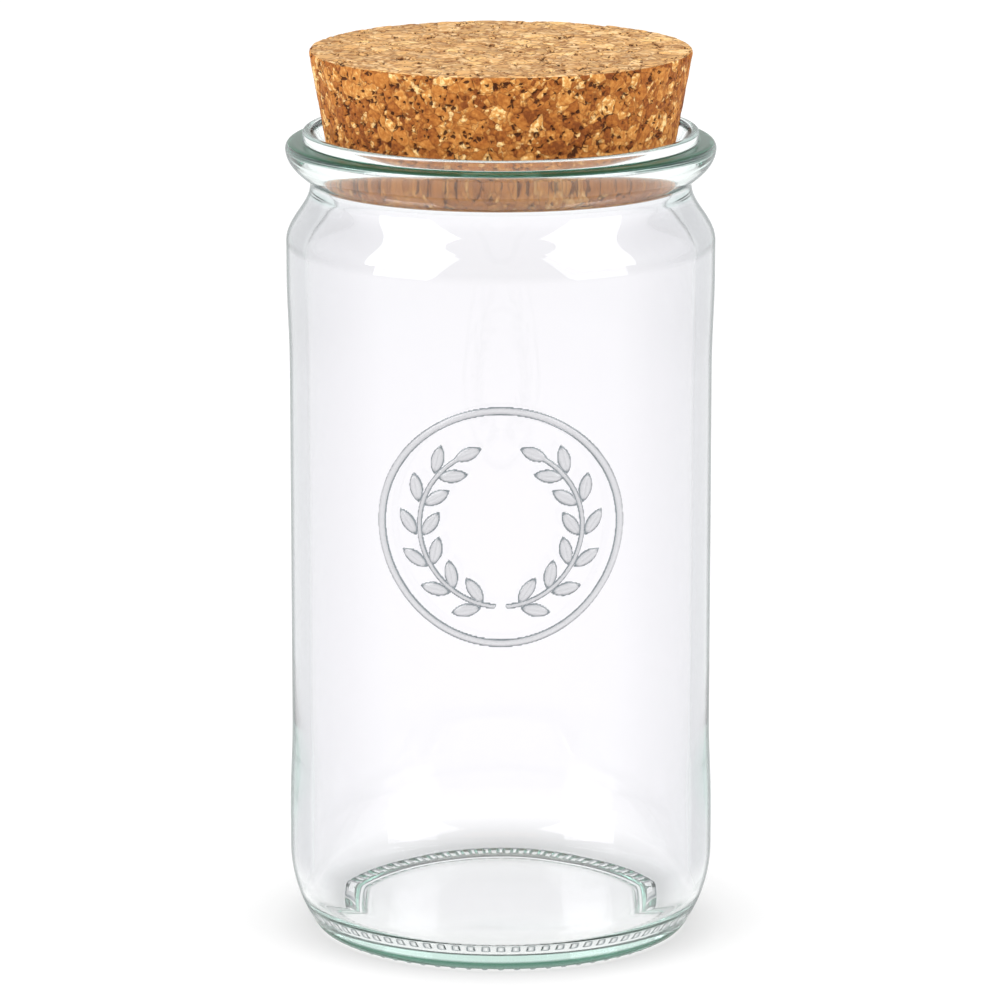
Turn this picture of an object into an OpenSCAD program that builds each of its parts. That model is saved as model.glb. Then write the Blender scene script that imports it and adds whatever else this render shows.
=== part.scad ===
// Straight-sided preserving jar of clear glass, closed by a tapered cork.
// Millimetres. The origin is the middle of the foot, on the table, and +Z is up.

/* [Body] */
// Height of the glass, from the table to the top of the collar
jar_h = 130; // [110:1:170]
// Diameter of the two plain bands, above the heel and below the shoulder
body_d = 68.2; // [66:0.1:84]
// Thickness of the side wall at the label panel
wall = 3; // [2:0.1:4]
// Depth of the label panel between the two bands
label_recess = 0.4; // [0.2:0.05:0.6]
// Height of the plain band above the heel
lower_band_h = 6; // [3:0.5:10]
// Height of the plain band below the shoulder
upper_band_h = 5; // [3:0.5:10]
// Height of the slope from a band to the label panel
band_slope_h = 15; // [8:0.5:18]

/* [Foot and base] */
// Height of the rounded heel
heel_h = 13.1; // [9:0.1:18]
// How far the foot is drawn in from the bands
heel_w = 4.4; // [3:0.1:6]
// Width of the ridged ring that stands on the table
ring_w = 3; // [2:0.1:4.5]
// Distance from the outside of the foot to that ring
ring_inset = 0.3; // [0.3:0.1:1.5]
// Rise of the base's hollow underside in the middle
punt_h = 1.3; // [0.9:0.1:3]
// Thickness of the base in the middle
base_t = 2.4; // [2:0.1:5]
// Inside radius between the floor and the side wall
floor_r = 5; // [3:0.5:9]
// Height of the ridges under the foot
ridge_h = 0.35; // [0.2:0.05:0.6]
// Width of one ridge
ridge_w = 1; // [0.6:0.1:1.6]
// Distance from one ridge to the next, round the ring
ridge_pitch = 2.45; // [2:0.05:5]

/* [Shoulder and neck] */
// Height of the shoulder's double bend
shoulder_h = 8.8; // [6:0.2:14]
// Height of the straight neck under the flange
neck_h = 0.9; // [0.5:0.1:3]
// Thickness of the neck at the bottom of the seat
neck_wall = 3.45; // [2.5:0.05:4]

/* [Rim] */
// Height of the flange's curved underside, from the neck to its side
flange_under = 5.1; // [3.5:0.1:7]
// How far the flange stands out from the collar
flange_w = 2.75; // [2:0.05:4]
// Radius along the flange's top edge
flange_round = 1.2; // [0.6:0.1:1.6]
// Height of the collar above the flange
collar_h = 1.7; // [1.4:0.1:3.4]
// Thickness of the collar
collar_w = 1.4; // [1.2:0.1:1.8]
// Radius along the collar's two top edges
lip_r = 0.5; // [0.3:0.05:0.6]
// Diameter of the mouth inside the collar
mouth_d = 60; // [58.4:0.1:64]

/* [Cork] */
// Diameter of the cork level with the top of the collar
cork_d = 56.3; // [54:0.1:57.6]
// Slope of the cork's side, in degrees from upright
cork_slope = 9.8; // [6:0.1:12]
// How far the cork stands up out of the mouth
cork_out = 12.9; // [8:0.1:20]
// How far the cork reaches down into the mouth
cork_in = 7.9; // [6:0.1:10]
// Radius along the cork's two edges
cork_round = 0.5; // [0.2:0.1:1.5]
// Clearance between the cork and its seat in the mouth
cork_gap = 0.15; // [0.05:0.05:0.4]

/* [Raised medallion] */
// Diameter over the medallion's ring
medallion_d = 38; // [28:0.5:44]
// Height of the medallion's middle above the table
medallion_z = 73; // [60:0.5:80]
// Width of the raised ring
line_w = 1.1; // [0.7:0.1:2]
// Radius of the wreath's two stems
stem_r = 12.6; // [10:0.1:14]
// Width of a stem
stem_w = 0.7; // [0.5:0.05:1.2]
// Length of one leaf
leaf_l = 4.8; // [3.5:0.1:5.6]
// Width of one leaf
leaf_w = 2; // [1.2:0.1:2.6]
// Pairs of leaves on each stem
leaf_pairs = 6; // [3:1:6]

/* [Hidden] */
$fn = 180;
// Straight steps in one bend of a profile
steps = 8;
// Overlap where a raised piece is rooted in the glass
root = 0.6;

body_r = body_d / 2;
label_r = body_r - label_recess;
inner_r = label_r - wall;

// Heights, from the top of the glass down
flange_top = jar_h - collar_h;
flange_side = flange_top - flange_round;
flange_bottom = flange_side - flange_under;
shoulder_top = flange_bottom - neck_h;
shoulder_bottom = shoulder_top - shoulder_h;
label_top = shoulder_bottom - upper_band_h;
label_bottom = heel_h + lower_band_h;
cork_top = jar_h + cork_out;
cork_bottom = jar_h - cork_in;

// Radius of the cork's side at a height
function cork_r(z) = cork_d / 2 + (z - jar_h) * tan(cork_slope);

// The seat has the cork's slope. It ends just below the cork, and opens at nearly half of the
// cork's depth into a wider funnel.
seat_below = 0.6;
seat_share = 0.45;
seat_bottom = cork_bottom - seat_below;
seat_top = cork_bottom + cork_in * seat_share;
seat_bottom_r = cork_r(seat_bottom) + cork_gap;
seat_top_r = cork_r(seat_top) + cork_gap;
mouth_r = mouth_d / 2;
collar_r = mouth_r + collar_w;
flange_r = collar_r + flange_w;
neck_r = seat_bottom_r + neck_wall;

// The inside of the shoulder lies a little lower than the outside
inside_drop = 1.6;
// Small fillet between the flange and the collar
fillet = 0.3;
// Turn round the wreath from one pair of leaves to the next, and where the first pair is
leaf_turn = 23;
first_leaf = -68;
// Turn where the stem starts, and how far before the next pair's turn it and its tip leaf end
stem_start = -86;
stem_back = 6;
tip_back = 4;
// Lean of a leaf away from its stem, and how far out from it the leaf's middle lies
leaf_lean = 34;
leaf_out = 0.36;

// The heel is one long arc from the foot, running tangent into the side
heel_r = (heel_w * heel_w + heel_h * heel_h) / (2 * heel_w);
heel_x = body_r - heel_r;
heel_angle = asin((heel_h - ridge_h) / heel_r);
foot_r = heel_x + heel_r * cos(heel_angle);
ring_out = foot_r - ring_inset;
ring_in = ring_out - ring_w;
ridges = round(2 * PI * (ring_in + ring_out) / 2 / ridge_pitch);

// The hollow under the base begins a step in from the ring, and a little above it
punt_inset = 1.2;
punt_step = 0.3;
punt_r = ring_in - punt_inset;
punt_edge = ridge_h + punt_step;
// Plain border of the ring on its inner side
ring_border = 0.3;
// Height of the underside, and of the floor above it, at a radius
function underside(r) = punt_h - (punt_h - punt_edge) * pow(r / punt_r, 2);
floor_flat = inner_r - floor_r;
floor_edge = base_t + underside(floor_flat);

// Points along an arc round a centre, from one angle to another
function arc(x, z, r, from, to, n = steps) =
    [for (i = [0:n])
        let (a = from + (to - from) * i / n)
        [x + r * cos(a), z + r * sin(a)]];

// Points along a double bend that starts and ends upright
function bend(low_r, low_z, high_r, high_z, n = 2 * steps) =
    [for (i = [0:n])
        let (t = i / n)
        [low_r + (high_r - low_r) * (1 - cos(180 * t)) / 2, low_z + (high_z - low_z) * t]];

// Point of the flange's underside, from the neck, at 0, out to its side, at 1
function flange_underside(t) =
    [flange_r - (flange_r - neck_r) * pow(1 - t, 2), flange_bottom + flange_under * t];

// Outside of the glass, from the middle of the base up to the lip
outside = concat(
    [for (i = [0:4]) [punt_r * i / 4, underside(punt_r * i / 4)]],
    [[ring_in - ring_border, ridge_h]],
    arc(heel_x, heel_h, heel_r, -heel_angle, 0),
    bend(body_r, label_bottom, label_r, label_bottom + band_slope_h, 4),
    bend(label_r, label_top - band_slope_h, body_r, label_top, 4),
    bend(body_r, shoulder_bottom, neck_r, shoulder_top),
    [for (i = [0:steps]) flange_underside(i / steps)],
    arc(flange_r - flange_round, flange_top - flange_round, flange_round, 0, 90, 6),
    arc(collar_r + fillet, flange_top + fillet, fillet, 270, 180, 4),
    arc(collar_r - lip_r, jar_h - lip_r, lip_r, 0, 90, 4),
    arc(mouth_r + lip_r, jar_h - lip_r, lip_r, 90, 180, 4)
);

// Inside of the glass, from the lip down to the middle of the floor
inside = concat(
    [[seat_top_r, seat_top], [seat_bottom_r, seat_bottom]],
    bend(seat_bottom_r, shoulder_top - inside_drop, inner_r, shoulder_bottom - inside_drop),
    arc(floor_flat, floor_edge + floor_r, floor_r, 0, -90),
    [for (i = [3:-1:0]) [floor_flat * i / 4, base_t + underside(floor_flat * i / 4)]]
);

// Cork-shaped profile with both edges rounded
module cork_profile() {
    low_r = cork_r(cork_bottom);
    high_r = cork_r(cork_top);
    // Where the round meets a side that leans outwards
    low = cork_round * tan(45 + cork_slope / 2);
    high = cork_round * tan(45 - cork_slope / 2);
    polygon(concat(
        [[0, cork_bottom]],
        arc(low_r - high, cork_bottom + cork_round, cork_round, -90, -cork_slope, 4),
        arc(high_r - low, cork_top - cork_round, cork_round, -cork_slope, 90, 4),
        [[0, cork_top]]
    ));
}

// One ridge under the foot: a radial bar with round ends
module ridge() {
    linear_extrude(ridge_h + root) {
        translate([ring_in + ridge_w / 2, -ridge_w / 2])
            square([ring_w - ridge_w, ridge_w]);
        translate([ring_in + ridge_w / 2, 0])
            circle(d = ridge_w, $fn = 24);
        translate([ring_out - ridge_w / 2, 0])
            circle(d = ridge_w, $fn = 24);
    }
}

// One leaf: the overlap of two equal circles, with its tip towards +Y
module leaf() {
    half_l = leaf_l / 2;
    half_w = leaf_w / 2;
    r = (half_l * half_l + half_w * half_w) / (2 * half_w);
    intersection() {
        translate([r - half_w, 0])
            circle(r = r, $fn = 90);
        translate([half_w - r, 0])
            circle(r = r, $fn = 90);
    }
}

// One leaf at a turn round the wreath, set off from the stem and leaning away from it
module wreath_leaf(turn, out, lean) {
    rotate(turn)
        translate([stem_r + out, 0])
            rotate(-lean)
                leaf();
}

// Right half of the wreath: a stem with paired leaves and one at its tip
module wreath_half() {
    last = first_leaf + leaf_pairs * leaf_turn;
    for (i = [0:leaf_pairs - 1], side = [-1, 1])
        wreath_leaf(first_leaf + i * leaf_turn, side * leaf_l * leaf_out, side * leaf_lean);
    wreath_leaf(last - tip_back, 0, 0);
    intersection() {
        difference() {
            circle(r = stem_r + stem_w / 2);
            circle(r = stem_r - stem_w / 2);
        }
        polygon(concat([[0, 0]], arc(0, 0, medallion_d, stem_start, last - stem_back)));
    }
}

// The medallion's drawing, flat: a ring round an open wreath
module medallion_drawing() {
    difference() {
        circle(d = medallion_d);
        circle(d = medallion_d - 2 * line_w);
    }
    wreath_half();
    mirror([1, 0])
        wreath_half();
}

// The drawing stands out of the label panel, flush with the two bands
module medallion() {
    intersection() {
        difference() {
            cylinder(r = body_r, h = jar_h);
            translate([0, 0, -1])
                cylinder(r = label_r - root, h = jar_h + 2);
        }
        translate([0, 0, medallion_z])
            rotate([90, 0, 0])
                linear_extrude(body_r + 1)
                    medallion_drawing();
    }
}

module glass_jar() {
    color("#cfe6dd", 0.45)
        union() {
            rotate_extrude()
                polygon(concat(outside, inside));
            for (i = [0:ridges - 1])
                rotate(i * 360 / ridges)
                    ridge();
            medallion();
        }
}

module cork_stopper() {
    color("#c08850")
        rotate_extrude()
            cork_profile();
}

glass_jar();
cork_stopper();
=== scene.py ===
# A straight-sided jar of clear glass with a faint green cast, closed by a tapered
# stopper of pressed cork. The glass is one moulding and the cork one block.
import math

import bmesh
import bpy
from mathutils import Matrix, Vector


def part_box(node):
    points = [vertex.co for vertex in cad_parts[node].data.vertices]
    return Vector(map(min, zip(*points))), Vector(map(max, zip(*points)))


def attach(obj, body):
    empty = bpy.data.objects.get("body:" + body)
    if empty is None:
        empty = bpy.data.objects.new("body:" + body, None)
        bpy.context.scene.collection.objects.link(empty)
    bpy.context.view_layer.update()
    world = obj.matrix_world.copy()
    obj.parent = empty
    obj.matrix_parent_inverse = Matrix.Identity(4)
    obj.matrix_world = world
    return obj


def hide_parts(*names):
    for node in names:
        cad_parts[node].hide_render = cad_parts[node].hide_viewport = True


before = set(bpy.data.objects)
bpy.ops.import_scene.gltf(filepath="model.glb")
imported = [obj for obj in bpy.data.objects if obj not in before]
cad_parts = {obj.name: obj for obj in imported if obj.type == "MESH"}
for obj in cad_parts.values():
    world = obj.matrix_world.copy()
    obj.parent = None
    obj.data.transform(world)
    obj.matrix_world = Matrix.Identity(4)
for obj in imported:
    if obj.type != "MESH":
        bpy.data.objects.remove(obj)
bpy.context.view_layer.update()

MM = 0.001

# Sizes of the glass, in millimetres
jar_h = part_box("glass_jar")[1][2] / MM
body_r = 34.1
label_recess = 0.4
wall = 3.0
lower_band_h = 6.0
upper_band_h = 5.0
band_slope_h = 15.0
heel_h = 13.1
heel_w = 4.4
ring_w = 3.0
ring_inset = 0.3
punt_h = 1.3
base_t = 2.4
floor_r = 5.0
ridge_h = 0.35
ridge_w = 1.0
ridge_pitch = 2.45
shoulder_h = 8.8
neck_h = 0.9
neck_wall = 3.45
flange_under = 5.1
flange_w = 2.75
flange_round = 1.2
collar_h = 1.7
collar_w = 1.4
lip_r = 0.5
mouth_r = 30.0
inside_drop = 1.6
fillet = 0.3

# Sizes of the cork, in millimetres
cork_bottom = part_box("cork_stopper")[0][2] / MM
cork_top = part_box("cork_stopper")[1][2] / MM
cork_r_at_rim = 28.15
cork_slope = math.radians(9.8)
cork_round = 0.5
cork_gap = 0.15

# Sizes of the raised medallion, in millimetres
medallion_r = 19.0
medallion_z = 73.0
line_w = 1.1
stem_r = 12.6
stem_w = 0.7
leaf_l = 4.8
leaf_w = 2.0
leaf_stations = 6

# Heights and radii that follow from the sizes above
label_r = body_r - label_recess
inner_r = label_r - wall
flange_top = jar_h - collar_h
flange_side = flange_top - flange_round
flange_bottom = flange_side - flange_under
shoulder_top = flange_bottom - neck_h
shoulder_bottom = shoulder_top - shoulder_h
label_top = shoulder_bottom - upper_band_h
label_bottom = heel_h + lower_band_h
seat_bottom = cork_bottom - 0.6
seat_top = cork_bottom + (jar_h - cork_bottom) * 0.45


def cork_r(z):
    """Radius of the cork's side at a height."""
    return cork_r_at_rim + (z - jar_h) * math.tan(cork_slope)


seat_bottom_r = cork_r(seat_bottom) + cork_gap
seat_top_r = cork_r(seat_top) + cork_gap
collar_r = mouth_r + collar_w
flange_r = collar_r + flange_w
neck_r = seat_bottom_r + neck_wall
heel_r = (heel_w ** 2 + heel_h ** 2) / (2 * heel_w)
heel_x = body_r - heel_r
heel_angle = math.degrees(math.asin((heel_h - ridge_h) / heel_r))
foot_r = heel_x + heel_r * math.cos(math.radians(heel_angle))
ring_out = foot_r - ring_inset
ring_in = ring_out - ring_w
ridges = round(math.pi * (ring_in + ring_out) / ridge_pitch)
punt_r = ring_in - 1.2
punt_edge = ridge_h + 0.3
floor_flat = inner_r - floor_r


def underside(r):
    """Height of the base's hollow underside at a radius."""
    return punt_h - (punt_h - punt_edge) * (r / punt_r) ** 2


def arc(x, z, r, start, end, steps):
    """Points along an arc of a profile, angles in degrees."""
    angles = [math.radians(start + (end - start) * i / steps) for i in range(steps + 1)]
    return [(x + r * math.cos(a), z + r * math.sin(a)) for a in angles]


def bend(low_r, low_z, high_r, high_z, steps):
    """Points along a double bend that starts and ends upright."""
    turns = [i / steps for i in range(steps + 1)]
    return [(low_r + (high_r - low_r) * (1 - math.cos(math.pi * t)) / 2, low_z + (high_z - low_z) * t)
            for t in turns]


def straight(x0, z0, x1, z1, steps):
    """Points inside a straight stretch, without its two ends."""
    return [(x0 + (x1 - x0) * i / steps, z0 + (z1 - z0) * i / steps) for i in range(1, steps)]


def flange_underside(t):
    """Point of the curve from the neck, at 0, out to the flange's side, at 1."""
    return flange_r - (flange_r - neck_r) * (1 - t) ** 2, flange_bottom + flange_under * t


def glass_profile():
    """Outline of the glass from the middle of the underside, up outside and down inside."""
    floor_edge = base_t + underside(floor_flat)
    medallion_foot = medallion_z - medallion_r - 0.5
    medallion_rows = 40
    under = [(punt_r * i / 10, underside(punt_r * i / 10)) for i in range(11)]
    floor = [(floor_flat * i / 8, base_t + underside(floor_flat * i / 8)) for i in range(7, -1, -1)]
    return (
        under
        + [(ring_in - 0.8, ridge_h + 0.17), (ring_in - 0.55, ridge_h + 0.06), (ring_in - 0.3, ridge_h)]
        + straight(ring_in - 0.3, ridge_h, foot_r - 0.15, ridge_h, 13)
        + [(foot_r - 0.15, ridge_h), (foot_r - 0.04, ridge_h + 0.06)]
        + arc(heel_x, heel_h, heel_r, -heel_angle + 1, 0, 20)
        + bend(body_r, label_bottom, label_r, label_bottom + band_slope_h, 6)
        + straight(label_r, label_bottom + band_slope_h, label_r, medallion_foot, 4)
        + straight(label_r, medallion_foot - 1, label_r, label_top - band_slope_h, medallion_rows)
        + bend(label_r, label_top - band_slope_h, body_r, label_top, 6)
        + bend(body_r, shoulder_bottom, neck_r, shoulder_top, 20)
        + [flange_underside(i / 14) for i in range(15)]
        + arc(flange_r - flange_round, flange_top - flange_round, flange_round, 0, 90, 10)
        + arc(collar_r + fillet, flange_top + fillet, fillet, 270, 180, 6)
        + arc(collar_r - lip_r, jar_h - lip_r, lip_r, 0, 90, 8)
        + arc(mouth_r + lip_r, jar_h - lip_r, lip_r, 90, 180, 8)
        + straight(mouth_r, jar_h - lip_r, seat_top_r, seat_top, 2)
        + [(seat_top_r, seat_top), (seat_bottom_r, seat_bottom)]
        + bend(seat_bottom_r, shoulder_top - inside_drop, inner_r, shoulder_bottom - inside_drop, 20)
        + arc(floor_flat, floor_edge + floor_r, floor_r, 0, -90, 18)
        + floor
    )


def spun(name, profile, steps):
    """Turns a profile once round the Z axis and closes it into a mesh with its faces outwards."""
    bm = bmesh.new()
    points = [bm.verts.new((r * MM, 0, z * MM)) for r, z in profile]
    edges = [bm.edges.new(pair) for pair in zip(points, points[1:])]
    bmesh.ops.spin(bm, geom=points + edges, cent=(0, 0, 0), axis=(0, 0, 1), angle=math.tau,
                   steps=steps, use_merge=True)
    bmesh.ops.remove_doubles(bm, verts=bm.verts, dist=0.002 * MM)
    bmesh.ops.recalc_face_normals(bm, faces=bm.faces)
    return bm


def finished(name, bm, body, slot, *nodes):
    """Makes a smooth-shaded object from a bmesh, rides it on its body and lets it stand for nodes."""
    mesh = bpy.data.meshes.new(name)
    bm.to_mesh(mesh)
    bm.free()
    mesh.shade_smooth()
    piece = bpy.data.objects.new(name, mesh)
    bpy.context.collection.objects.link(piece)
    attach(piece, body)
    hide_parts(*nodes)
    return piece


# The moulded relief


def smooth_step(t):
    """Eases a number from 0 to 1."""
    t = min(max(t, 0.0), 1.0)
    return t * t * (3 - 2 * t)


def bead_height(distance, half_width):
    """Height, 0 to 1, of a rounded bead at a distance from its middle."""
    t = abs(distance) / half_width
    return math.sqrt(1 - t * t) if t < 1 else 0.0


def wreath_leaves():
    """Middle and direction of each leaf of the right-hand spray."""
    leaves = []
    for i in range(leaf_stations):
        angle = math.radians(-68 + i * 23)
        for side in (-1, 1):
            out = stem_r + side * leaf_l * 0.36
            tilt = angle + math.pi / 2 - side * math.radians(34)
            leaves.append((out * math.cos(angle), out * math.sin(angle), tilt))
    tip = math.radians(-68 + leaf_stations * 23 - 4)
    leaves.append((stem_r * math.cos(tip), stem_r * math.sin(tip), tip + math.pi / 2))
    return leaves


LEAVES = wreath_leaves()


def leaf_height(x, z):
    """Height, 0 to 1, of the wreath's leaves at a point of the medallion."""
    half_l, half_w = leaf_l / 2, leaf_w / 2
    best = 0.0
    for leaf_x, leaf_z, tilt in LEAVES:
        dx, dz = x - leaf_x, z - leaf_z
        if abs(dx) > half_l or abs(dz) > half_l:
            continue
        along = dx * math.cos(tilt) + dz * math.sin(tilt)
        across = -dx * math.sin(tilt) + dz * math.cos(tilt)
        width = half_w * (1 - (along / half_l) ** 2)
        if abs(along) < half_l and abs(across) < width:
            rise = bead_height(across, width) * min(1.0, width / half_w * 1.5)
            vein = 0.35 * max(0.0, 1 - abs(across) / 0.22) * smooth_step(width / half_w)
            best = max(best, rise - vein)
    return best


def medallion_height(x, z):
    """Height, 0 to 1, of the raised medallion at a point measured from its middle."""
    r = math.hypot(x, z)
    if r > medallion_r:
        return 0.0
    height = bead_height(r - (medallion_r - line_w / 2), line_w / 2)
    angle = math.degrees(math.atan2(z, abs(x)))
    if -86 < angle < 66:
        height = max(height, 0.8 * bead_height(r - stem_r, stem_w / 2))
    return max(height, leaf_height(abs(x), z))


def on_medallion(point, margin):
    """Whether a point of the outer wall lies on the medallion, within a margin in millimetres."""
    x, y, z = (v / MM for v in point)
    on_wall = y < 0 and abs(math.hypot(x, y) - label_r) < 0.05
    return on_wall and math.hypot(x, z - medallion_z) < medallion_r + margin


def refine_medallion(bm):
    """Cuts the wall into small squares wherever the medallion rises."""
    edges = {e for f in bm.faces if on_medallion(f.calc_center_median(), 1) and
             near_relief(f.calc_center_median()) for e in f.edges}
    bmesh.ops.subdivide_edges(bm, edges=list(edges), cuts=4, use_grid_fill=True)


def near_relief(point):
    """Whether the medallion rises anywhere close to a point of the wall."""
    x, z = point.x / MM, point.z / MM - medallion_z
    near = 0.5
    return any(medallion_height(x + dx, z + dz) > 0 for dx in (-near, 0, near) for dz in (-near, 0, near))


def raise_medallion(bm):
    """Lifts the wall's vertices into the raised medallion, flush with the two bands."""
    relief = bm.verts.layers.float["relief"]
    for vert in bm.verts:
        if on_medallion(vert.co, 0):
            radius = vert.co.xy.length
            # The relief is drawn flat and pressed straight back on to the round wall
            scale = label_r * MM / radius
            height = medallion_height(vert.co.x * scale / MM, vert.co.z / MM - medallion_z)
            vert[relief] = height
            grown = (label_r + label_recess * height) * MM / radius
            vert.co.x *= grown
            vert.co.y *= grown


def press_ridges(bm):
    """Presses the foot's ring into short radial ridges that stand on the table."""
    def in_ring(point):
        r = point.xy.length / MM
        return ring_in - 0.32 < r < ring_out + 0.2 and abs(point.z / MM - ridge_h) < 0.02

    edges = {e for f in bm.faces if in_ring(f.calc_center_median()) for e in f.edges
             if abs(e.verts[0].co.xy.length - e.verts[1].co.xy.length) < 0.01 * MM}
    bmesh.ops.subdivide_edges(bm, edges=list(edges), cuts=2, use_grid_fill=True)
    relief = bm.verts.layers.float["relief"]
    for vert in bm.verts:
        if in_ring(vert.co):
            r = vert.co.xy.length / MM
            turn = math.atan2(vert.co.y, vert.co.x) / math.tau * ridges
            off = abs(turn - round(turn)) * math.tau * r / ridges
            ends = smooth_step((r - ring_in + 0.2) / 0.6) * smooth_step((ring_out + 0.1 - r) / 0.5)
            vert[relief] = smooth_step((ridge_w / 2 + 0.2 - off) / 0.4) * ends
            vert.co.z -= ridge_h * MM * vert[relief]


def mark_outside(bm):
    """Marks with 1 the vertices whose surface looks away from the jar's axis."""
    outside = bm.verts.layers.float.new("outside")
    bm.normal_update()
    for vert in bm.verts:
        vert[outside] = float(vert.normal.xy.dot(vert.co.xy) > 0.02 * vert.co.xy.length)


def jar_glass():
    """The whole moulding: body, rim, base, ridged foot and medallion."""
    bm = spun("glass", glass_profile(), ridges * 4)
    # How high the moulded relief stands at each vertex, from 0 to 1
    bm.verts.layers.float.new("relief")
    refine_medallion(bm)
    raise_medallion(bm)
    press_ridges(bm)
    mark_outside(bm)
    return finished("jar_moulding", bm, "jar", "glass", "glass_jar")


# Shader maths


class Link:
    """A node's output that can be used in sums, so that a pattern reads like a formula."""

    def __init__(self, graph, socket):
        self.graph = graph
        self.socket = socket

    def maths(self, operation, a, b):
        return self.graph.node("ShaderNodeMath", {"operation": operation}, {0: a, 1: b})

    def __add__(self, other): return self.maths("ADD", self, other)
    def __radd__(self, other): return self.maths("ADD", other, self)
    def __sub__(self, other): return self.maths("SUBTRACT", self, other)
    def __rsub__(self, other): return self.maths("SUBTRACT", other, self)
    def __mul__(self, other): return self.maths("MULTIPLY", self, other)
    def __rmul__(self, other): return self.maths("MULTIPLY", other, self)
    def __truediv__(self, other): return self.maths("DIVIDE", self, other)
    def __rtruediv__(self, other): return self.maths("DIVIDE", other, self)
    def __gt__(self, other): return self.maths("GREATER_THAN", self, other)
    def __lt__(self, other): return self.maths("LESS_THAN", self, other)


class Graph:
    """A node tree whose nodes are made by one method."""

    def __init__(self, tree):
        self.tree = tree

    def node(self, kind, settings=None, values=None, out=0, stops=None):
        made = self.tree.nodes.new(kind)
        for name, value in (settings or {}).items():
            setattr(made, name, value)
        if stops:
            ramp = made.color_ramp.elements
            while len(ramp) < len(stops):
                ramp.new(0.5)
            for element, (place, colour) in zip(ramp, stops):
                element.position = place
                element.color = (*colour, 1)
        for name, value in (values or {}).items():
            if isinstance(value, Link):
                self.tree.links.new(value.socket, made.inputs[name])
            else:
                made.inputs[name].default_value = value
        return Link(self, made.outputs[out]) if made.outputs else made


def colour(red, green, blue):
    """Turns a screen colour, 0 to 255, into the linear values that shaders take."""
    return tuple((v / 255 / 12.92) if v < 11 else ((v / 255 + 0.055) / 1.055) ** 2.4
                 for v in (red, green, blue))


def new_material(name):
    """An empty material, its graph and its output node."""
    material = bpy.data.materials.new(name)
    material.use_nodes = True
    material.node_tree.nodes.clear()
    graph = Graph(material.node_tree)
    return material, graph, material.node_tree.nodes.new("ShaderNodeOutputMaterial")


def mixed(graph, factor, first, second):
    """Blend of two colours."""
    return graph.node("ShaderNodeMix", {"data_type": "RGBA"}, {0: factor, 6: first, 7: second}, out=2)


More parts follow.
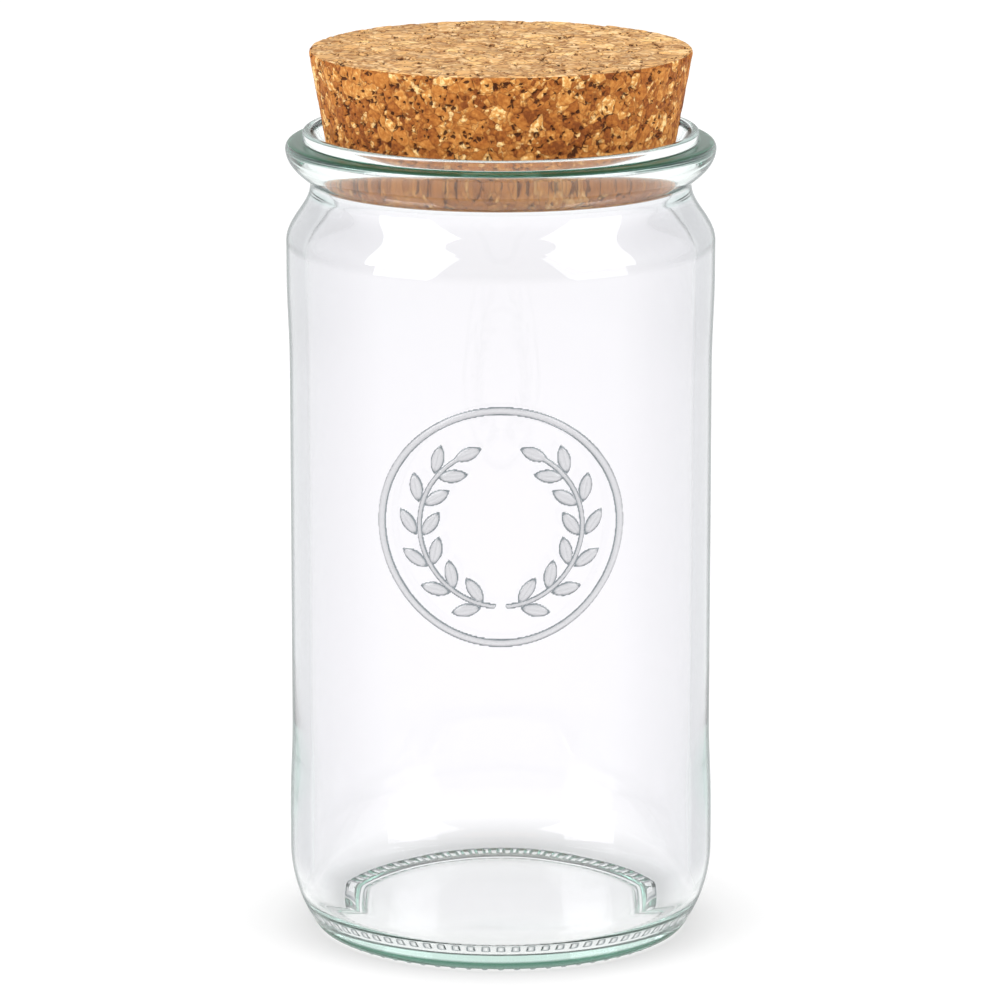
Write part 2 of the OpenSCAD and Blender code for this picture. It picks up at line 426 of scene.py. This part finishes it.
def clear_glass():
    """Soda-lime glass: clear through the wall, green along a long way through the rim and heel; the rim, foot,
    relief and edges also get painted green, grey and dark shade.
    """
    material, graph, output = new_material("clear_glass")
    place = graph.node("ShaderNodeTexCoord", out="Object")
    # Slow waves left in the wall by blowing it into the mould
    waves = graph.node("ShaderNodeTexNoise", values={"Vector": place, "Scale": 38.0, "Detail": 1.0})
    bump = graph.node("ShaderNodeBump", values={"Height": waves, "Strength": 0.25, "Distance": 0.0006})
    # The wall is grey rather than green
    height = graph.node("ShaderNodeSeparateXYZ", values={0: place}, out=2) / MM
    tint = graph.node("ShaderNodeValToRGB", values={"Fac": height / jar_h}, stops=[
        (0.02, (1, 1, 1)), (0.09, (0.985, 0.965, 0.98)), (0.92, (0.985, 0.965, 0.98)), (0.945, (1, 1, 1))])
    # The top of the flange is painted deep green, for the light that reaches it along the rim inside the glass
    flat = graph.node("ShaderNodeVectorMath", {"operation": "MULTIPLY"}, {0: place, 1: (1, 1, 0)})
    radius = graph.node("ShaderNodeVectorMath", {"operation": "LENGTH"}, {0: flat}, out="Value") / MM
    top = (height > flange_top - 0.32) * (radius > collar_r + 0.05) * (height < flange_top + 0.15)
    # The foot gets painted green bands as well, for light that enters it from outside, stronger where it is seen
    # edge-on
    facing = graph.node("ShaderNodeLayerWeight", values={"Blend": 0.5}, out="Facing")
    band = graph.node("ShaderNodeValToRGB", values={"Fac": height / jar_h}, stops=[
        (0.0, (0.8,) * 3), (0.005, (0.6,) * 3), (0.009, (1, 1, 1)), (0.012, (1, 1, 1)), (0.0155, (0, 0, 0))])
    entering = graph.node("ShaderNodeClamp", values={"Value": (facing - 0.22) / 0.12})
    low = band * entering * (radius > ring_in)
    rimmed = mixed(graph, top * 0.95 + low, tint, (0.05, 0.22, 0.15, 1))
    # The flanks of the moulded relief are too steep to let much light through, so they get a painted dark shade
    relief = graph.node("ShaderNodeAttribute", {"attribute_name": "relief"}, out="Fac")
    shade = graph.node("ShaderNodeValToRGB", values={"Fac": relief}, stops=[
        (0.0, (0, 0, 0)), (0.08, (1, 1, 1)), (0.4, (1, 1, 1)), (0.65, (0.6,) * 3), (1.0, (0.42,) * 3)])
    moulded = mixed(graph, shade, rimmed, (0.07, 0.09, 0.1, 1))
    # A wall seen along its length gets a painted grey shade; the base and the rim stay clear
    walls = graph.node("ShaderNodeValToRGB", values={"Fac": height / jar_h}, stops=[
        (0.05, (0, 0, 0)), (0.1, (1, 1, 1)), (0.93, (1, 1, 1)), (0.945, (0, 0, 0))])
    along = graph.node("ShaderNodeValToRGB", values={"Fac": facing}, stops=[
        (0.0, (0.93, 0.93, 0.94)), (0.19, (0.91, 0.91, 0.925)), (0.32, (0.81, 0.81, 0.83)),
        (0.46, (0.74, 0.74, 0.76)), (0.575, (0.69, 0.69, 0.71)), (0.6, (0.55, 0.545, 0.57)),
        (0.78, (0.49, 0.485, 0.51)), (1.0, (0.3, 0.32, 0.34))])
    outer = graph.node("ShaderNodeAttribute", {"attribute_name": "outside"}, out="Fac")
    edged = graph.node("ShaderNodeMix", {"data_type": "RGBA", "blend_type": "MULTIPLY"},
                       {0: outer * walls, 6: moulded, 7: along}, out=2)
    surface = graph.node("ShaderNodeBsdfPrincipled", values={
        "Base Color": edged, "Roughness": 0.0, "IOR": 1.5, "Transmission Weight": 1.0, "Normal": bump})
    # How much of each colour a metre of this glass takes away
    inside = graph.node("ShaderNodeVolumeAbsorption", values={"Color": (0.0, 0.72, 0.5, 1), "Density": 6.0})
    # The very edge of the outer wall turns all light away, and a dark shader mixed in there paints a thin dark
    # line
    edge = graph.node("ShaderNodeValToRGB", values={"Fac": facing}, stops=[
        (0.8, (0, 0, 0)), (0.87, (1, 1, 1)), (0.92, (1, 1, 1)), (0.98, (0.3,) * 3)])
    outside = graph.node("ShaderNodeMath", {"operation": "MAXIMUM"}, {
        0: radius > inner_r + 1, 1: height > shoulder_bottom})
    # The foot and the top of the flange also get the dark shader, painted dark green
    foot = low * (radius > foot_r - 0.3) * (height > ridge_h + 0.02)
    depth = mixed(graph, top + foot, (0.09, 0.12, 0.12, 1), (0.02, 0.11, 0.055, 1))
    dark = graph.node("ShaderNodeBsdfPrincipled", values={
        "Base Color": depth, "Roughness": 0.4, "Specular IOR Level": 0.3})
    share = graph.node("ShaderNodeMath", {"operation": "MAXIMUM"}, {
        0: edge * outside * 0.65, 1: top * 0.55 + foot * 0.6})
    outlined = graph.node("ShaderNodeMixShader", values={0: share, 1: surface, 2: dark})
    graph.tree.links.new(outlined.socket, output.inputs["Surface"])
    graph.tree.links.new(inside.socket, output.inputs["Volume"])
    return material


# The cork's granules, drawn by the same graph on the mesh and in its material


class Granules:
    """Fields of the pressed cork at a place, in one node tree."""

    def __init__(self, graph, place):
        # The end faces are cut along the granules, which show larger there
        height = graph.node("ShaderNodeSeparateXYZ", values={0: place}, out=2)
        self.end_face = (height > (cork_top - 0.15) * MM) + (height < (cork_bottom + 0.15) * MM)
        place = graph.node("ShaderNodeVectorMath", {"operation": "SCALE"}, {
            0: place, "Scale": 1 - self.end_face * 0.4})
        # Granules have slightly bent sides
        wander = graph.node("ShaderNodeTexNoise", values={"Vector": place, "Scale": 900.0, "Detail": 2.0},
                            out="Color")
        centred = graph.node("ShaderNodeVectorMath", {"operation": "SUBTRACT"}, {0: wander, 1: (0.5, 0.5, 0.5)})
        shift = graph.node("ShaderNodeVectorMath", {"operation": "SCALE"}, {0: centred, "Scale": 0.0009})
        bent = graph.node("ShaderNodeVectorMath", {"operation": "ADD"}, {0: place, 1: shift})
        big_random, big_gap = self.cells(graph, bent, 470.0)
        # Inside each large granule, patterns are drawn from a place of their own
        apart = graph.node("ShaderNodeCombineXYZ", values={i: big_random[i] * 0.1 for i in range(3)})
        self.own_place = graph.node("ShaderNodeVectorMath", {"operation": "ADD"}, {0: place, 1: apart})
        fine_random, fine_gap = self.cells(graph, bent, 1050.0)
        # Some large cells are one granule, and the others are filled with small ones
        whole = big_random[1] > 0.5
        self.tone = fine_random[0] + (big_random[0] - fine_random[0]) * whole
        self.depth = fine_random[2] + (big_random[2] - fine_random[2]) * whole
        nearest = graph.node("ShaderNodeMath", {"operation": "MINIMUM"}, {0: fine_gap, 1: big_gap})
        self.gap = nearest + (big_gap - nearest) * whole
        # The joints between granules open here and there into cracks, and small chips have fallen out
        opening = graph.node("ShaderNodeTexNoise", values={"Vector": place, "Scale": 650.0, "Detail": 2.0})
        crack = self.clamped(graph, ((opening - 0.54) * 1.3 - self.gap) / 0.1)
        chip_random, chip_gap = self.cells(graph, bent, 1500.0)
        chip = (chip_random[0] > 0.89) * self.clamped(graph, (chip_gap - 0.04) / 0.06)
        self.pit = graph.node("ShaderNodeMath", {"operation": "MAXIMUM"}, {0: crack, 1: chip})

    @staticmethod
    def cells(graph, place, scale):
        """Three random numbers of each cell, and the distance to its border in millimetres."""
        values = {"Vector": place, "Scale": scale, "Randomness": 1.0}
        random = graph.node("ShaderNodeTexVoronoi", {"feature": "F1"}, values, out="Color")
        border = graph.node("ShaderNodeTexVoronoi", {"feature": "DISTANCE_TO_EDGE"}, values)
        parts = [graph.node("ShaderNodeSeparateXYZ", values={0: random}, out=i) for i in range(3)]
        return parts, border * (1000.0 / scale)

    @staticmethod
    def clamped(graph, value):
        return graph.node("ShaderNodeClamp", values={"Value": value, "Min": 0.0, "Max": 1.0})


def pressed_cork():
    """Cork granules of many tans, with dark pits where they don't quite meet."""
    material, graph, output = new_material("pressed_cork")
    place = graph.node("ShaderNodeAttribute", {"attribute_name": "rest_place"}, out="Vector")
    cork = Granules(graph, place)
    grain = graph.node("ShaderNodeTexNoise", values={"Vector": place, "Scale": 1500.0, "Detail": 4.0})
    cloud = graph.node("ShaderNodeTexNoise", values={"Vector": place, "Scale": 90.0, "Detail": 2.0})
    tone = 0.5 + (cork.tone - 0.5) * 0.9 + (grain - 0.5) * 1.3 + (cloud - 0.5) * 0.6
    ramp = graph.node("ShaderNodeValToRGB", values={"Fac": tone}, stops=[
        (0.0, colour(118, 60, 18)), (0.2, colour(150, 84, 30)), (0.45, colour(176, 108, 44)),
        (0.7, colour(194, 128, 60)), (0.9, colour(216, 158, 86)), (1.0, colour(243, 205, 142))])
    # Joints between granules are thin darker lines
    joint = cork.clamped(graph, 1 - cork.gap / 0.16)
    # The end faces are paler
    end_face = cork.end_face
    paled = mixed(graph, end_face * 0.5, ramp, (*colour(255, 212, 146), 1))
    # Each granule shows the cut edges of its own thin layers, as short curved streaks
    layers = graph.node("ShaderNodeTexNoise", values={"Vector": cork.own_place, "Scale": 480.0, "Detail": 2.5})
    streak = graph.node("ShaderNodeValToRGB", values={"Fac": layers}, stops=[
        (0.455, (0, 0, 0)), (0.49, (1, 1, 1)), (0.5, (1, 1, 1)), (0.53, (0, 0, 0))])
    sheet = graph.node("ShaderNodeValToRGB", values={"Fac": layers}, stops=[
        (0.52, (0, 0, 0)), (0.57, (1, 1, 1)), (0.62, (0, 0, 0))])
    streaked = mixed(graph, streak * (0.3 + end_face * 0.25), paled, (*colour(140, 78, 30), 1))
    layered = mixed(graph, sheet * end_face * 0.6, streaked, (*colour(255, 222, 172), 1))
    lined = mixed(graph, joint * (0.5 + end_face * 0.05), layered, (*colour(110, 56, 18), 1))
    # Below the top of the mouth, the cork turns towards a lighter orange tan and its pits are less dark
    height = graph.node("ShaderNodeSeparateXYZ", values={0: place}, out=2) / MM
    below_rim = cork.clamped(graph, (jar_h - height) / 1.5)
    warmed = mixed(graph, below_rim * 0.4, lined, (*colour(236, 152, 78), 1))
    speck = cork.clamped(graph, (graph.node("ShaderNodeTexNoise", values={
        "Vector": place, "Scale": 900.0, "Detail": 1.0}) - 0.68) * 14)
    dotted = mixed(graph, speck * 0.7, warmed, (*colour(110, 58, 20), 1))
    pitted = mixed(graph, cork.pit * (0.92 - below_rim * 0.45), dotted, (*colour(66, 30, 8), 1))
    bump = graph.node("ShaderNodeBump", values={
        "Height": grain * 0.3 - cork.pit - joint * 0.4, "Strength": 0.5, "Distance": 0.0002})
    surface = graph.node("ShaderNodeBsdfPrincipled", values={
        "Base Color": pitted, "Roughness": 0.82, "Specular IOR Level": 0.25, "Normal": bump})
    graph.tree.links.new(surface.socket, output.inputs["Surface"])
    return material


def sink_pits(piece):
    """Sinks the joints and pits of the granules into the mesh, and keeps where each point lay before."""
    tree = bpy.data.node_groups.new("sink_pits", "GeometryNodeTree")
    tree.interface.new_socket("Geometry", in_out="INPUT", socket_type="NodeSocketGeometry")
    tree.interface.new_socket("Geometry", in_out="OUTPUT", socket_type="NodeSocketGeometry")
    graph = Graph(tree)
    whole = graph.node("NodeGroupInput")
    place = graph.node("GeometryNodeInputPosition")
    normal = graph.node("GeometryNodeInputNormal")
    cork = Granules(graph, place)
    joint = cork.clamped(graph, 1 - cork.gap / 0.3)
    depth = (cork.pit * 0.45 + joint * 0.07 + cork.depth * 0.06) * -MM
    kept = graph.node("GeometryNodeStoreNamedAttribute", {"data_type": "FLOAT_VECTOR", "domain": "POINT"},
                      {"Geometry": whole, "Name": "rest_place", "Value": place})
    inwards = graph.node("ShaderNodeVectorMath", {"operation": "SCALE"}, {0: normal, "Scale": depth})
    moved = graph.node("GeometryNodeSetPosition", values={"Geometry": kept, "Offset": inwards})
    graph.node("NodeGroupOutput", values={"Geometry": moved})
    change = piece.modifiers.new("sink_pits", "NODES")
    change.node_group = tree
    evaluated = piece.evaluated_get(bpy.context.evaluated_depsgraph_get())
    plain, piece.data = piece.data, bpy.data.meshes.new_from_object(evaluated)
    piece.modifiers.clear()
    bpy.data.meshes.remove(plain)
    bpy.data.node_groups.remove(tree)
    piece.data.name = piece.name


def cork_block():
    """The stopper: a tapered block turned from pressed cork."""
    low_r, high_r = cork_r(cork_bottom), cork_r(cork_top)
    slope = math.degrees(cork_slope)
    low = cork_round * math.tan(math.radians(45 - slope / 2))
    high = cork_round * math.tan(math.radians(45 + slope / 2))
    profile = (
        [(0, cork_bottom)] + straight(0, cork_bottom, low_r - low, cork_bottom, 30)
        + arc(low_r - low, cork_bottom + cork_round, cork_round, -90, -slope, 3)
        + straight(low_r, cork_bottom + 0.6, high_r, cork_top - 0.4, 54)
        + arc(high_r - high, cork_top - cork_round, cork_round, -slope, 90, 3)
        + straight(high_r - high, cork_top, 0, cork_top, 72)
        + [(0, cork_top)]
    )
    bm = spun("cork", profile, 440)
    piece = finished("cork_block", bm, "cork", "cork", "cork_stopper")
    sink_pits(piece)
    return piece


jar = jar_glass()
jar.data.materials.append(clear_glass())
cork = cork_block()
cork.data.materials.append(pressed_cork())


# Camera, floor and light

# The photograph's view: distance from the jar's axis, heights of the camera and of what it looks at
camera_back = 945.6
camera_z = 285.1
camera_aim_z = 69.7
# Focal length in pixels of the 1000-pixel frame, and how far right of the middle the axis stands
focal_px = 6044.5
frame_px = 1000
axis_off_px = 0.8


def add_camera():
    camera = bpy.data.cameras.new("camera")
    camera.sensor_width = 36
    camera.lens = focal_px / frame_px * camera.sensor_width
    placed = bpy.data.objects.new("camera", camera)
    bpy.context.collection.objects.link(placed)
    aside = -axis_off_px / focal_px * camera_back * MM
    eye = Vector((aside, -camera_back * MM, camera_z * MM))
    aim = Vector((aside, 0, camera_aim_z * MM))
    placed.location = eye
    placed.rotation_euler = (aim - eye).to_track_quat("-Z", "Y").to_euler()
    camera.clip_end = 50
    bpy.context.scene.camera = placed


def add_floor():
    """A wide pale floor, lit a little from below as a light table is, with a painted shadow close round the foot.
    """
    bm = bmesh.new()
    bmesh.ops.create_circle(bm, cap_ends=True, segments=96, radius=6)
    mesh = bpy.data.meshes.new("floor")
    bm.to_mesh(mesh)
    bm.free()
    floor = bpy.data.objects.new("floor", mesh)
    bpy.context.collection.objects.link(floor)
    material, graph, output = new_material("pale_floor")
    place = graph.node("ShaderNodeTexCoord", out="Object")
    away = graph.node("ShaderNodeVectorMath", {"operation": "LENGTH"}, {0: place}, out="Value") / MM
    # A painted shadow dims the floor's glow close round the foot, where the foot keeps some light off it
    shade = graph.node("ShaderNodeValToRGB", values={"Fac": away / 60}, stops=[
        (0.48, (1, 1, 1)), (0.505, (0.66,) * 3), (0.56, (0.74,) * 3), (0.62, (0.84,) * 3), (0.75, (0.94,) * 3),
        (0.95, (1, 1, 1))])
    surface = graph.node("ShaderNodeBsdfPrincipled", values={
        "Base Color": (0.25, 0.25, 0.25, 1), "Roughness": 0.9, "Specular IOR Level": 0.0,
        "Emission Color": shade, "Emission Strength": 0.86})
    graph.tree.links.new(surface.socket, output.inputs["Surface"])
    mesh.materials.append(material)


def add_panel(name, place, width, height, watts):
    """A soft rectangular studio light aimed at the jar."""
    light = bpy.data.lights.new(name, "AREA")
    light.shape = "RECTANGLE"
    light.size, light.size_y = width, height
    light.energy = watts
    placed = bpy.data.objects.new(name, light)
    bpy.context.collection.objects.link(placed)
    placed.location = place
    placed.rotation_euler = (Vector((0, 0, 0.07)) - Vector(place)).to_track_quat("-Z", "Y").to_euler()


def add_room():
    """Pale surroundings, darker overhead so that clear edges and relief show."""
    world = bpy.data.worlds.new("studio")
    bpy.context.scene.world = world
    world.use_nodes = True
    world.node_tree.nodes.clear()
    graph = Graph(world.node_tree)
    output = world.node_tree.nodes.new("ShaderNodeOutputWorld")
    up = graph.node("ShaderNodeSeparateXYZ", values={0: graph.node("ShaderNodeTexCoord", out="Generated")}, out=2)
    tone = graph.node("ShaderNodeValToRGB", values={"Fac": up}, stops=[
        (0.0, (1, 1, 1)), (0.3, (0.95,) * 3), (0.6, (0.52,) * 3), (1.0, (0.6,) * 3)])
    background = graph.node("ShaderNodeBackground", values={"Color": tone, "Strength": 1.0})
    graph.tree.links.new(background.socket, output.inputs["Surface"])


def let_light_through():
    """Lets light pass the many faces of a glass rim before it is given up."""
    cycles = bpy.context.scene.cycles
    cycles.max_bounces = 32
    cycles.transmission_bounces = 32
    cycles.glossy_bounces = 16


add_camera()
add_floor()
add_room()
let_light_through()
add_panel("key_light", (-1.0, -0.6, 0.8), 0.9, 1.2, 14)
add_panel("fill_light", (1.0, -0.6, 0.8), 0.9, 1.2, 11)
bpy.context.scene.view_settings.view_transform = "Standard"
